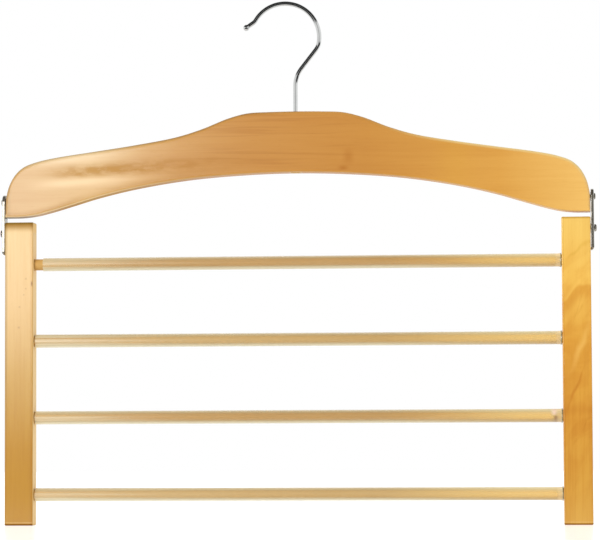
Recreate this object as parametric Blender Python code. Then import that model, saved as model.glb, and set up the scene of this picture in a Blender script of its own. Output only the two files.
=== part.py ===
"""Multi tier trouser hanger: a wooden arm on a swivelling wire hook, with a ladder of trouser bars below.

Metres, +Z up. X runs along the arm and Y through its thickness; the front faces -Y. The origin is the
seat of the hook, the highest point inside its loop, where a rail carries the hanger.

Three groups of pieces move against each other. The hook and its lock nut hang from the rail. The arm
turns on the hook's shank about Z. The ladder of posts, straps and bars swings about X on the two pivot
pins in the ends of the arm.
"""

import math

import bmesh
import bpy
from mathutils import Matrix, Vector

# Fits: pieces that touch keep this gap, and every cut runs past its surface by the overrun.
GAP = 0.0003
OVERRUN = 0.002

# Wooden arm. The datum of its heights is the flat underside of its ends.
ARM_LENGTH = 0.440
ARM_THICKNESS = 0.015
ARM_CREST_HEIGHT = 0.0778
ARM_ARCH_HEIGHT = 0.032
ARM_EASE = 0.0025

# Upper edge from the middle to the head of the upright tip: shares of the half length and crest height.
CREST_EDGE_SHARES = (
    (0.0, 1.0),
    (0.09, 0.997),
    (0.165, 0.986),
    (0.23, 0.939),
    (0.32, 0.839),
    (0.41, 0.763),
    (0.55, 0.692),
    (0.69, 0.634),
    (0.82, 0.581),
    (0.89, 0.54),
    (0.938, 0.488),
    (0.968, 0.41),
    (0.988, 0.307),
    (0.998, 0.193),
    (1.0, 0.092),
)
# Lower edge from the middle to the corner under the tip: shares of the half length and arch height.
ARCH_EDGE_SHARES = (
    (0.0, 1.0),
    (0.18, 0.965),
    (0.365, 0.864),
    (0.545, 0.673),
    (0.68, 0.461),
    (0.77, 0.278),
    (0.84, 0.137),
    (0.895, 0.045),
    (0.945, 0.005),
    (1.0, 0.0),
)
EDGE_STEPS = 3

# Hook: one length of wire, bent in its own plane in this order.
WIRE_DIAMETER = 0.0035
HOOK_RISE = 0.0196
HOOK_SHOULDER_RADIUS = 0.022
HOOK_SHOULDER_TURN = -38.0
HOOK_REACH = 0.0175
HOOK_THROAT_RADIUS = 0.0121
HOOK_THROAT_TURN = 29.0
HOOK_LOOP_RADIUS = 0.026
HOOK_LOOP_TURN = 158.0
HOOK_TIP_RADIUS = 0.0052
HOOK_TIP_TURN = -24.0
HOOK_TIP_LENGTH = 0.0049
HOOK_BALL_RADIUS = 0.00245
BEND_STEP = 7.5
BALL_STEPS = 5
WIRE_BEVEL_RESOLUTION = 4

# Swivel fittings under the crest: a washer and a nut up a counterbore in the underside.
COUNTERBORE_DEPTH = 0.014
WASHER_DIAMETER = 0.0086
WASHER_THICKNESS = 0.0008
NUT_WIDTH = 0.007
NUT_HEIGHT = 0.0032
NUT_CHAMFER = 0.0005
SHANK_TAIL = 0.0015

# Ladder: two posts hung under the ends of the arm.
LADDER_GAP = 0.0039
POST_WIDTH = 0.0215
POST_DEPTH = 0.015
POST_EASE = 0.0016
POST_TAIL = 0.023

# Bars: dowels socketed into the posts, and the clear ribbed sleeve on each.
BAR_COUNT = 4
BAR_DIAMETER = 0.0084
BAR_CHAMFER = 0.0008
FIRST_BAR_DROP = 0.0318
BAR_PITCH = 0.0578
SOCKET_COVER = 0.0095
SLEEVE_WALL = 0.0004
SLEEVE_RIB = 0.00012
SLEEVE_FLARE = 0.0005
SLEEVE_FLARE_LENGTH = 0.003
FIRST_BARE_END = 0.004
BARE_END = 0.0014

# Straps: stamped link plates on the outer sides, raised round both holes, with a lip turned in below.
PIVOT_HEIGHT = 0.0117
STRAP_WIDTH = 0.011
STRAP_THICKNESS = 0.0018
STRAP_BOSS_HEIGHT = 0.0006
STRAP_BOSS_RIM = 0.0018
STRAP_CORNER = 0.0025
STRAP_TAIL = 0.0167
SCREW_DROP = 0.008

# Pivot pins, driven into the end grain of the arm, and the pan head screws in the posts.
PIN_DIAMETER = 0.0026
PIN_BITE = 0.018
PIN_HEAD_DIAMETER = 0.0048
PIN_HEAD_HEIGHT = 0.0012
SCREW_DIAMETER = 0.0032
SCREW_COVER = 0.0075
SCREW_POINT = 0.004
SCREW_HEAD_DIAMETER = 0.0056
SCREW_HEAD_HEIGHT = 0.0019
HEAD_RIM_SHARE = 0.4
HEAD_SHOULDER_SHARE = 0.72

# Facet counts.
DOWEL_SIDES = 24
SLEEVE_SIDES = 40
SMALL_SIDES = 20
EASE_SEGMENTS = 3
CORNER_STEPS = 4

# Colour, roughness and metallic value of each finish.
FINISHES = {
    "arm_wood": ((0.80, 0.55, 0.28), 0.30, 0.0),
    "post_wood": ((0.82, 0.56, 0.25), 0.32, 0.0),
    "bar_wood": ((0.76, 0.54, 0.30), 0.45, 0.0),
    "clear_sleeve": ((0.90, 0.88, 0.80), 0.15, 0.0),
    "chrome": ((0.75, 0.76, 0.78), 0.06, 1.0),
    "nickel": ((0.62, 0.61, 0.58), 0.22, 1.0),
}


def bend_wire(moves):
    """Follow (length, radius, turn) moves from the origin, heading up, and return the points passed.

    A move with no radius is a straight run; otherwise it is an arc through turn degrees, positive to the
    left. Also returns the centre of each arc, in the order of the moves.
    """
    place = Vector((0, 0))
    heading = math.pi / 2
    points = [place.copy()]
    centres = []
    for length, radius, turn in moves:
        if not radius:
            place = place + length * Vector((math.cos(heading), math.sin(heading)))
            points.append(place.copy())
            continue
        side = math.copysign(1, turn)
        centre = place + side * radius * Vector((-math.sin(heading), math.cos(heading)))
        centres.append(centre)
        steps = math.ceil(abs(turn) / BEND_STEP)
        for step in range(1, steps + 1):
            angle = heading + math.radians(turn) * step / steps
            points.append(centre + side * radius * Vector((math.sin(angle), -math.cos(angle))))
        heading += math.radians(turn)
        place = points[-1].copy()
    return points, centres


HOOK_MOVES = (
    (HOOK_RISE, 0, 0),
    (0, HOOK_SHOULDER_RADIUS, HOOK_SHOULDER_TURN),
    (HOOK_REACH, 0, 0),
    (0, HOOK_THROAT_RADIUS, HOOK_THROAT_TURN),
    (0, HOOK_LOOP_RADIUS, HOOK_LOOP_TURN),
    (0, HOOK_TIP_RADIUS, HOOK_TIP_TURN),
    (HOOK_TIP_LENGTH, 0, 0),
)
HOOK_POINTS, HOOK_CENTRES = bend_wire(HOOK_MOVES)
LOOP_CENTRE = HOOK_CENTRES[2]

# Places that follow from the sizes. The hook's bends put the crest below the seat at the origin.
ARM_X = -LOOP_CENTRE.x
CREST_Z = -(LOOP_CENTRE.y + HOOK_LOOP_RADIUS - WIRE_DIAMETER / 2)
ARM_DATUM_Z = CREST_Z - ARM_CREST_HEIGHT
ARCH_Z = ARM_DATUM_Z + ARM_ARCH_HEIGHT
PIVOT_Z = ARM_DATUM_Z + PIVOT_HEIGHT
ARM_HALF = ARM_LENGTH / 2

SHANK_BORE = WIRE_DIAMETER + 2 * GAP
COUNTERBORE_DIAMETER = WASHER_DIAMETER + 2 * GAP
WASHER_TOP_Z = ARCH_Z + COUNTERBORE_DEPTH - GAP
NUT_TOP_Z = WASHER_TOP_Z - WASHER_THICKNESS - GAP
SHANK_END_Z = NUT_TOP_Z - NUT_HEIGHT - SHANK_TAIL

POST_TOP_DROP = PIVOT_HEIGHT + LADDER_GAP
POST_LENGTH = FIRST_BAR_DROP + (BAR_COUNT - 1) * BAR_PITCH + POST_TAIL
POST_X = ARM_HALF - POST_WIDTH / 2
INNER_HALF = ARM_HALF - POST_WIDTH
SOCKET_DEPTH = POST_WIDTH - SOCKET_COVER
SCREW_BITE = POST_WIDTH - SCREW_COVER
STRAP_STANDOFF = GAP + STRAP_BOSS_HEIGHT
STRAP_SCREW_DROP = POST_TOP_DROP + SCREW_DROP
STRAP_DROP = STRAP_SCREW_DROP + STRAP_TAIL
HEAD_SEAT = STRAP_STANDOFF + STRAP_THICKNESS + GAP


def clear_scene():
    """Remove every object that the scene starts with."""
    for item in list(bpy.data.objects):
        bpy.data.objects.remove(item, do_unlink=True)


def finish_material(name, finish):
    """Make a material of one finish for one piece."""
    colour, roughness, metallic = FINISHES[finish]
    material = bpy.data.materials.new(name)
    material.use_nodes = True
    shader = material.node_tree.nodes["Principled BSDF"]
    shader.inputs["Base Color"].default_value = (*colour, 1)
    shader.inputs["Roughness"].default_value = roughness
    shader.inputs["Metallic"].default_value = metallic
    return material


def add_axis(name, location, parent=None):
    """Put an empty on a joint's axis, for the pieces that move about it."""
    axis = bpy.data.objects.new(name, None)
    axis.location = location
    axis.parent = parent
    bpy.context.scene.collection.objects.link(axis)
    return axis


def add_piece(name, data, finish, parent=None, location=(0, 0, 0), rotation=(0, 0, 0)):
    """Add a finished piece to the scene, placed in its parent's frame."""
    piece = bpy.data.objects.new(name, data)
    piece.location = location
    piece.rotation_euler = rotation
    piece.parent = parent
    data.materials.append(finish_material(name, finish))
    bpy.context.scene.collection.objects.link(piece)
    return piece


def cut(piece, tool_mesh, operation="DIFFERENCE"):
    """Combine a piece with a tool mesh given in the piece's own frame, and hide the tool."""
    tool = bpy.data.objects.new(f"{piece.name}_{operation.lower()}_tool", tool_mesh)
    tool.parent = piece
    tool.hide_render = True
    tool.display_type = "WIRE"
    bpy.context.scene.collection.objects.link(tool)
    modifier = piece.modifiers.new(tool.name, "BOOLEAN")
    modifier.operation = operation
    modifier.object = tool


def mesh_from(bm, name):
    """Turn a finished bmesh into a mesh whose faces point out, shaded smooth between sharp edges."""
    bmesh.ops.recalc_face_normals(bm, faces=bm.faces)
    mesh = bpy.data.meshes.new(name)
    bm.to_mesh(mesh)
    bm.free()
    mesh.shade_smooth()
    mesh.set_sharp_from_angle(angle=math.radians(40))
    return mesh


def smooth_line(points):
    """Run a centripetal Catmull-Rom curve through the points, with EDGE_STEPS steps between two."""
    before = 2 * points[0] - points[1]
    after = 2 * points[-1] - points[-2]
    chain = [before, *points, after]
    line = [points[0]]
    for p0, p1, p2, p3 in zip(chain, chain[1:], chain[2:], chain[3:]):
        t1 = (p1 - p0).length ** 0.5
        t2 = t1 + (p2 - p1).length ** 0.5
        t3 = t2 + (p3 - p2).length ** 0.5
        for step in range(1, EDGE_STEPS + 1):
            t = t1 + (t2 - t1) * step / EDGE_STEPS
            a1 = p0.lerp(p1, t / t1)
            a2 = p1.lerp(p2, (t - t1) / (t2 - t1))
            a3 = p2.lerp(p3, (t - t2) / (t3 - t2))
            b1 = a1.lerp(a2, t / t2)
            b2 = a2.lerp(a3, (t - t1) / (t3 - t1))
            line.append(b1.lerp(b2, (t - t1) / (t2 - t1)))
    return line


def arm_edge(shares, height):
    """Scale one table of edge shares to the arm and mirror it into a line from tip to tip."""
    right = [Vector((along * ARM_HALF, up * height)) for along, up in shares]
    left = [Vector((-point.x, point.y)) for point in reversed(right[1:])]
    return smooth_line(left + right)


def extrude_outline(bm, outline, depth):
    """Extrude an (x, z) outline through a depth centred on y = 0, and return its front and back rims."""
    front = [bm.verts.new((point[0], -depth / 2, point[1])) for point in outline]
    face = bm.faces.new(front)
    swept = bmesh.ops.extrude_face_region(bm, geom=[face], use_keep_orig=True)["geom"]
    back = [part for part in swept if isinstance(part, bmesh.types.BMVert)]
    bmesh.ops.translate(bm, verts=back, vec=(0, depth, 0))
    rims = [edge for edge in bm.edges if edge.verts[0].co.y == edge.verts[1].co.y]
    return rims


def ease_edges(bm, edges, radius):
    """Round the given edges over with a small radius."""
    bmesh.ops.bevel(bm, geom=edges, offset=radius, segments=EASE_SEGMENTS, profile=0.5, affect="EDGES")


def add_ring(bm, radius, height, sides, rib=0):
    """Add one ring of vertices about Z, or a single one on the axis; every other one stands out by rib."""
    if not radius:
        return [bm.verts.new((0, 0, height))]
    ring = []
    for index in range(sides):
        angle = 2 * math.pi * index / sides
        reach = radius + rib * (index % 2)
        ring.append(bm.verts.new((reach * math.cos(angle), reach * math.sin(angle), height)))
    return ring


def join_rings(bm, low, high):
    """Skin the band between two rings, or the cone between a ring and a point."""
    count = max(len(low), len(high))
    for index in range(count):
        following = (index + 1) % count
        corners = [low[index % len(low)], low[following % len(low)]]
        corners += [high[following % len(high)], high[index % len(high)]]
        bm.faces.new(dict.fromkeys(corners))


def turned_mesh(name, profile, sides=SMALL_SIDES, bored=False):
    """Turn (radius, height) or (radius, height, rib) points about Z; a bored profile closes on itself."""
    bm = bmesh.new()
    rings = [add_ring(bm, point[0], point[1], sides, *point[2:]) for point in profile]
    pairs = list(zip(rings, rings[1:]))
    if bored:
        pairs.append((rings[-1], rings[0]))
    for low, high in pairs:
        join_rings(bm, low, high)
    return mesh_from(bm, name)


def rod_mesh(name, rods, sides=SMALL_SIDES):
    """Make plain rods for cutting or joining; each is (start, end, radius) in the frame of the piece."""
    bm = bmesh.new()
    for start, end, radius in rods:
        run = Vector(end) - Vector(start)
        turn = run.to_track_quat("Z", "Y").to_matrix().to_4x4()
        place = Matrix.Translation((Vector(start) + Vector(end)) / 2) @ turn
        bmesh.ops.create_cone(
            bm,
            cap_ends=True,
            segments=sides,
            radius1=radius,
            radius2=radius,
            depth=run.length,
            matrix=place,
        )
    return mesh_from(bm, name)


def domed_head(radius, height, seat=0):
    """Give the profile of a domed head, from its seat outwards to the crown on the axis."""
    return [
        (radius, seat),
        (radius, seat + height * HEAD_RIM_SHARE),
        (radius * HEAD_SHOULDER_SHARE, seat + height * (1 + HEAD_SHOULDER_SHARE) / 2),
        (0, seat + height),
    ]


def add_hook():
    """Bend the hook wire: shank down into the arm, shoulder, throat, loop and the ball at its tip."""
    radii = [WIRE_DIAMETER / 2] * (len(HOOK_POINTS) + 1)
    points = [Vector((0, SHANK_END_Z - CREST_Z)), *HOOK_POINTS]
    tip = points[-1]
    forward = (points[-1] - points[-2]).normalized()
    start_angle = math.asin(WIRE_DIAMETER / 2 / HOOK_BALL_RADIUS)
    centre = tip + forward * HOOK_BALL_RADIUS * math.cos(start_angle)
    for step in range(1, BALL_STEPS + 1):
        angle = start_angle + (math.pi - start_angle) * step / (BALL_STEPS + 1)
        points.append(centre - forward * HOOK_BALL_RADIUS * math.cos(angle))
        radii.append(HOOK_BALL_RADIUS * math.sin(angle))
    curve = bpy.data.curves.new("hook_wire", "CURVE")
    curve.dimensions = "3D"
    curve.bevel_depth = 1
    curve.bevel_resolution = WIRE_BEVEL_RESOLUTION
    curve.use_fill_caps = True
    spline = curve.splines.new("POLY")
    spline.points.add(len(points) - 1)
    for knot, point, radius in zip(spline.points, points, radii):
        knot.co = (point.x, 0, point.y, 1)
        knot.radius = radius
    add_piece("hook_wire", curve, "chrome", location=(ARM_X, 0, CREST_Z))


def add_lock_nut():
    """Put the chamfered hexagon nut on the threaded end of the shank."""
    corner = NUT_WIDTH / 2 / math.cos(math.pi / 6)
    profile = [
        (0, 0),
        (corner - NUT_CHAMFER, 0),
        (corner, NUT_CHAMFER),
        (corner, NUT_HEIGHT - NUT_CHAMFER),
        (corner - NUT_CHAMFER, NUT_HEIGHT),
        (0, NUT_HEIGHT),
    ]
    mesh = turned_mesh("hook_lock_nut", profile, sides=6)
    nut = add_piece("hook_lock_nut", mesh, "nickel", location=(ARM_X, 0, NUT_TOP_Z - NUT_HEIGHT))
    thread = [((0, 0, -OVERRUN), (0, 0, NUT_HEIGHT + OVERRUN), SHANK_BORE / 2)]
    cut(nut, rod_mesh("nut_thread", thread))


def add_washer(axis):
    """Lay the washer against the ceiling of the counterbore."""
    profile = [
        (SHANK_BORE / 2, 0),
        (WASHER_DIAMETER / 2, 0),
        (WASHER_DIAMETER / 2, WASHER_THICKNESS),
        (SHANK_BORE / 2, WASHER_THICKNESS),
    ]
    mesh = turned_mesh("hook_washer", profile, bored=True)
    height = WASHER_TOP_Z - WASHER_THICKNESS - CREST_Z
    add_piece("hook_washer", mesh, "nickel", axis, location=(0, 0, height))


def add_arm(axis):
    """Shape the arm from its two edges, ease its rims and bore it for the shank, nut and pivot pins."""
    upper = arm_edge(CREST_EDGE_SHARES, ARM_CREST_HEIGHT)
    lower = arm_edge(ARCH_EDGE_SHARES, ARM_ARCH_HEIGHT)
    outline = upper + lower[::-1]
    bm = bmesh.new()
    rims = extrude_outline(bm, outline, ARM_THICKNESS)
    ease_edges(bm, rims, ARM_EASE)
    place = (0, 0, ARM_DATUM_Z - CREST_Z)
    arm = add_piece("hanger_arm", mesh_from(bm, "hanger_arm"), "arm_wood", axis, location=place)
    ceiling = ARM_ARCH_HEIGHT + COUNTERBORE_DEPTH
    bores = [
        ((0, 0, ceiling - OVERRUN), (0, 0, ARM_CREST_HEIGHT + OVERRUN), SHANK_BORE / 2),
    ]
    cut(arm, rod_mesh("shank_bore", bores))
    recess = [((0, 0, ARM_ARCH_HEIGHT - OVERRUN), (0, 0, ceiling), COUNTERBORE_DIAMETER / 2)]
    cut(arm, rod_mesh("counterbore", recess, DOWEL_SIDES))
    pins = []
    for side in (-1, 1):
        mouth = (side * (ARM_HALF + OVERRUN), 0, PIVOT_HEIGHT)
        bottom = (side * (ARM_HALF - PIN_BITE - GAP), 0, PIVOT_HEIGHT)
        pins.append((bottom, mouth, PIN_DIAMETER / 2 + GAP))
    cut(arm, rod_mesh("pin_holes", pins))


def add_post(name, side, axis):
    """Cut a post to length, ease its edges and sink the bar sockets and the screw's pilot hole."""
    bm = bmesh.new()
    bmesh.ops.create_cube(bm, size=1)
    bmesh.ops.scale(bm, vec=(POST_WIDTH, POST_DEPTH, POST_LENGTH), verts=bm.verts)
    ease_edges(bm, list(bm.edges), POST_EASE)
    middle = -POST_TOP_DROP - POST_LENGTH / 2
    place = (side * POST_X, 0, middle)
    post = add_piece(name, mesh_from(bm, name), "post_wood", axis, location=place)
    inner_face = -side * POST_WIDTH / 2
    sockets = []
    for index in range(BAR_COUNT):
        height = POST_LENGTH / 2 - FIRST_BAR_DROP - index * BAR_PITCH
        bottom = (inner_face + side * SOCKET_DEPTH, 0, height)
        mouth = (inner_face - side * OVERRUN, 0, height)
        sockets.append((bottom, mouth, BAR_DIAMETER / 2 + GAP))
    cut(post, rod_mesh(f"{name}_sockets", sockets, DOWEL_SIDES))
    height = POST_LENGTH / 2 - SCREW_DROP
    bottom = (-inner_face - side * (SCREW_BITE + GAP), 0, height)
    mouth = (-inner_face + side * OVERRUN, 0, height)
    cut(post, rod_mesh(f"{name}_pilot", [(bottom, mouth, SCREW_DIAMETER / 2 + GAP)]))


def add_bar(index, axis):
    """Set one dowel into its two sockets and slip its ribbed sleeve on, flared where it meets the post."""
    height = -POST_TOP_DROP - FIRST_BAR_DROP - index * BAR_PITCH
    along_x = (0, math.pi / 2, 0)
    half = INNER_HALF + SOCKET_DEPTH - GAP
    radius = BAR_DIAMETER / 2
    dowel = [
        (0, -half),
        (radius - BAR_CHAMFER, -half),
        (radius, BAR_CHAMFER - half),
        (radius, half - BAR_CHAMFER),
        (radius - BAR_CHAMFER, half),
        (0, half),
    ]
    name = f"bar_{index + 1}"
    place = (0, 0, height)
    add_piece(name, turned_mesh(name, dowel, DOWEL_SIDES), "bar_wood", axis, place, along_x)

    bore = radius + GAP
    outer = bore + SLEEVE_WALL
    bare = FIRST_BARE_END if index == 0 else BARE_END
    start = bare - INNER_HALF
    end = INNER_HALF - GAP
    neck = end - SLEEVE_FLARE_LENGTH
    sleeve = [
        (bore, start),
        (outer, start, SLEEVE_RIB),
        (outer, neck, SLEEVE_RIB),
        (outer + SLEEVE_FLARE, end, SLEEVE_RIB),
        (bore + SLEEVE_FLARE, end),
        (bore, neck),
    ]
    name = f"bar_sleeve_{index + 1}"
    mesh = turned_mesh(name, sleeve, SLEEVE_SIDES, bored=True)
    add_piece(name, mesh, "clear_sleeve", axis, place, along_x)


def strap_side_profile():
    """Give the strap's thickness profile as (out, up) points from the pivot, with the lip turned in."""
    inner = STRAP_STANDOFF
    outer = inner + STRAP_THICKNESS
    top = STRAP_WIDTH / 2
    bend_in = STRAP_BOSS_HEIGHT
    bend_out = bend_in + STRAP_THICKNESS
    centre = Vector((inner - bend_in, bend_out - STRAP_DROP))
    turns = [math.pi / 2 * step / CORNER_STEPS for step in range(CORNER_STEPS + 1)]
    outside = [centre + bend_out * Vector((math.cos(turn), -math.sin(turn))) for turn in turns]
    inside = [centre + bend_in * Vector((math.cos(turn), -math.sin(turn))) for turn in reversed(turns)]
    return [Vector((inner, top)), Vector((outer, top)), *outside, *inside]


def strap_face_outline():
    """Give the strap's face outline as (across, up) points: a round head and a foot with round corners."""
    half = STRAP_WIDTH / 2
    steps = 3 * CORNER_STEPS
    head = [math.pi * step / steps for step in range(steps + 1)]
    outline = [Vector((half * math.cos(turn), half * math.sin(turn))) for turn in head]
    for side in (-1, 1):
        corner = Vector((side * (half - STRAP_CORNER), STRAP_CORNER - STRAP_DROP))
        turns = [math.pi / 2 * step / CORNER_STEPS for step in range(CORNER_STEPS + 1)]
        if side > 0:
            turns.reverse()
        for turn in turns:
            reach = Vector((side * math.cos(turn), -math.sin(turn)))
            outline.append(corner + STRAP_CORNER * reach)
    return outline


def add_strap(name, side, axis):
    """Form a strap: a bent plate trimmed to its outline, with a raised boss and a hole at both fixings."""
    bm = bmesh.new()
    profile = [(side * point.x, point.y) for point in strap_side_profile()]
    extrude_outline(bm, profile, STRAP_WIDTH + 2 * OVERRUN)
    strap = add_piece(name, mesh_from(bm, name), "nickel", axis, location=(side * ARM_HALF, 0, 0))

    bm = bmesh.new()
    reach = STRAP_STANDOFF + STRAP_THICKNESS + OVERRUN
    extrude_outline(bm, strap_face_outline(), 2 * reach)
    bmesh.ops.rotate(bm, matrix=Matrix.Rotation(math.pi / 2, 3, "Z"), verts=bm.verts)
    cut(strap, mesh_from(bm, f"{name}_outline"), "INTERSECT")

    fixings = ((0, PIN_DIAMETER / 2 + GAP), (-STRAP_SCREW_DROP, SCREW_DIAMETER / 2 + GAP))
    middle = STRAP_STANDOFF + STRAP_THICKNESS / 2
    bosses = []
    holes = []
    for height, radius in fixings:
        bosses.append(((side * GAP, 0, height), (side * middle, 0, height), radius + STRAP_BOSS_RIM))
        holes.append(((0, 0, height), (side * reach, 0, height), radius))
    cut(strap, rod_mesh(f"{name}_bosses", bosses), "UNION")
    cut(strap, rod_mesh(f"{name}_holes", holes))


def add_pin(name, side, axis):
    """Drive the pivot pin through the strap into the end of the arm."""
    radius = PIN_DIAMETER / 2
    profile = [
        (0, -PIN_BITE),
        (radius, radius - PIN_BITE),
        (radius, HEAD_SEAT),
        *domed_head(PIN_HEAD_DIAMETER / 2, PIN_HEAD_HEIGHT, HEAD_SEAT),
    ]
    place = (side * ARM_HALF, 0, PIVOT_Z - CREST_Z)
    add_piece(name, turned_mesh(name, profile), "nickel", axis, place, (0, side * math.pi / 2, 0))


def add_screw(name, side, axis):
    """Drive the pan head screw through the strap into the post."""
    radius = SCREW_DIAMETER / 2
    profile = [
        (0, -SCREW_BITE),
        (radius, SCREW_POINT - SCREW_BITE),
        (radius, HEAD_SEAT),
        *domed_head(SCREW_HEAD_DIAMETER / 2, SCREW_HEAD_HEIGHT, HEAD_SEAT),
    ]
    place = (side * ARM_HALF, 0, -STRAP_SCREW_DROP)
    add_piece(name, turned_mesh(name, profile), "nickel", axis, place, (0, side * math.pi / 2, 0))


def build():
    """Build the hanger: hook, then the arm on its swivel axis, then the ladder on its pivot axis."""
    clear_scene()
    swivel = add_axis("swivel_axis", (ARM_X, 0, CREST_Z))
    pivot = add_axis("pivot_axis", (0, 0, PIVOT_Z - CREST_Z), swivel)
    add_hook()
    add_lock_nut()
    add_washer(swivel)
    add_arm(swivel)
    for hand, side in (("left", -1), ("right", 1)):
        add_pin(f"{hand}_pivot_pin", side, swivel)
        add_strap(f"{hand}_strap", side, pivot)
        add_screw(f"{hand}_strap_screw", side, pivot)
        add_post(f"{hand}_post", side, pivot)
    for index in range(BAR_COUNT):
        add_bar(index, pivot)


build()
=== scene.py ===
"""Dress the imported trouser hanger: bent chrome hook, lacquered arm and ladder, sleeved bars and steel straps.

Metres, +Z up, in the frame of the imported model. Every piece is a surface worked out from the sizes below
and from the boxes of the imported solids, so it lies where its solid lies.
"""

import math

import bmesh
import bpy
import numpy as np
from mathutils import Matrix, Vector


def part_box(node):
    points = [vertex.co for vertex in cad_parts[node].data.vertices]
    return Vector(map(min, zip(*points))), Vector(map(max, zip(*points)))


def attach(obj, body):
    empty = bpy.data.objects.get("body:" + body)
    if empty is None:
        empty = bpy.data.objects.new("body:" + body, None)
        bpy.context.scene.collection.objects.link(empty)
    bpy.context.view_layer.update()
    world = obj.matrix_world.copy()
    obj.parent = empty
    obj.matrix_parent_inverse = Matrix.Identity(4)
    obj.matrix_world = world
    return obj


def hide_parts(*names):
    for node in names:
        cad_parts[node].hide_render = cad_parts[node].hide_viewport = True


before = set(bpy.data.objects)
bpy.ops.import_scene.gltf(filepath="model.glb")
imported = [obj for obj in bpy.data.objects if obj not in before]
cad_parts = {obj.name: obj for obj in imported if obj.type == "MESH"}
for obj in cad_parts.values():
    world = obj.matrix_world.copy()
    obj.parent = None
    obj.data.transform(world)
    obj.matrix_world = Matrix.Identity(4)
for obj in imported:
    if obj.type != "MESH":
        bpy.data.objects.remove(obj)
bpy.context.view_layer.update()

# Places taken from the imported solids.
ARM_LOW, ARM_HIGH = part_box("hanger_arm")
ARM_X = (ARM_LOW.x + ARM_HIGH.x) / 2
ARM_HALF = (ARM_HIGH.x - ARM_LOW.x) / 2
ARM_THICKNESS = ARM_HIGH.y - ARM_LOW.y
ARM_CREST_HEIGHT = ARM_HIGH.z - ARM_LOW.z
FLOOR_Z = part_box("left_post")[0].z
POST_TOP_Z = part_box("left_post")[1].z
WASHER_LOW, WASHER_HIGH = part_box("hook_washer")
NUT_LOW, NUT_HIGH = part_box("hook_lock_nut")
BAR_NAMES = ("bar_1", "bar_2", "bar_3", "bar_4")
BAR_HEIGHTS = [(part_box(bar)[0].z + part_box(bar)[1].z) / 2 for bar in BAR_NAMES]

# Sizes that the boxes don't give.
GAP = 0.0003
OVERRUN = 0.002
ARM_ARCH_HEIGHT = 0.032
ARM_ARCH_Z = ARM_LOW.z + ARM_ARCH_HEIGHT
ARM_EASE = 0.0025
ARM_LOW_EASE_SHARE = 0.45
WIRE_RADIUS = 0.00172
HOOK_BALL_RADIUS = 0.00243
THREAD_PITCH = 0.0006
THREAD_DEPTH = 0.0003
THREAD_RUN = 0.0055
THREAD_LEAD_IN = 0.0006
COUNTERBORE_RADIUS = 0.0046
COUNTERBORE_DEPTH = 0.014
NUT_WIDTH = 0.007
NUT_CHAMFER = 0.0005
NUT_BORE_CHAMFER = 0.0003
WASHER_EASE = 0.0002
POST_EASE = 0.0009
BAR_RADIUS = 0.0042
BAR_EASE = 0.0008
SLEEVE_WALL = 0.0004
SLEEVE_RIB = 0.00012
SLEEVE_RIBS = 18
SLEEVE_FLARE = 0.0005
SLEEVE_FLARE_LENGTH = 0.003
SLEEVE_RAGGED = 0.00025
SLEEVE_STARTS = (0.0022, -0.0011, -0.0011, -0.0011)
CREASE_Z = BAR_HEIGHTS[2] + 0.0015
STRAP_WIDTH = 0.011
STRAP_THICKNESS = 0.0022
STRAP_BOSS_HEIGHT = 0.0002
STRAP_BOSS_RIM = 0.0018
STRAP_CORNER = 0.0025
STRAP_EASE = 0.0004
STRAP_SCREW_DROP = 0.0236
STRAP_DROP = 0.0403
PIVOT_HEIGHT = 0.0117
PIVOT_Z = ARM_LOW.z + PIVOT_HEIGHT
PIN_RADIUS = 0.0013
PIN_BITE = 0.018
PIN_HEAD_RADIUS = 0.0024
PIN_HEAD_HEIGHT = 0.0012
SCREW_Z = PIVOT_Z - STRAP_SCREW_DROP
SCREW_RADIUS = 0.0016
SCREW_BITE = 0.014
SCREW_POINT = 0.004
SCREW_HEAD_RADIUS = 0.0028
SCREW_HEAD_HEIGHT = 0.0019
HEAD_CHAMFER = 0.0002
CROSS_REACH = 0.00155
CROSS_WIDTH = 0.00028
CROSS_DEPTH = 0.0011
HEAD_SEAT = GAP + STRAP_BOSS_HEIGHT + STRAP_THICKNESS + GAP

# Facets round each kind of piece, and the bends in degrees past which an edge stays crisp.
WIRE_SIDES = 40
NUT_SIDES = 120
BORE_SIDES = 48
DOWEL_SIDES = 64
TURNED_CREASE = 35
EASED_CREASE = 50

# Upper edge of the arm from the middle to the upright tip: shares of the half length and crest height.
CREST_EDGE_SHARES = (
    (0, 1), (0.09, 0.997), (0.165, 0.986), (0.23, 0.939), (0.32, 0.839), (0.41, 0.763), (0.55, 0.692),
    (0.69, 0.634), (0.82, 0.581), (0.89, 0.54), (0.938, 0.488), (0.968, 0.41), (0.988, 0.307),
    (0.998, 0.193), (1.0, 0.092),
)
# Lower edge from the middle to the corner under the tip: shares of the half length and arch height.
ARCH_EDGE_SHARES = (
    (0, 1), (0.18, 0.965), (0.365, 0.864), (0.545, 0.673), (0.68, 0.461), (0.77, 0.278),
    (0.84, 0.137), (0.895, 0.045), (0.945, 0.005), (1, 0),
)
# The wire's bends from the crest upwards: length of a straight run, or radius and turn of an arc.
HOOK_MOVES = (
    (0.0196, 0, 0), (0, 0.022, -38.0), (0.0175, 0, 0), (0, 0.0121, 29.0), (0, 0.026, 158.0),
    (0, 0.0052, -24.0), (0.0049, 0, 0),
)
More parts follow.
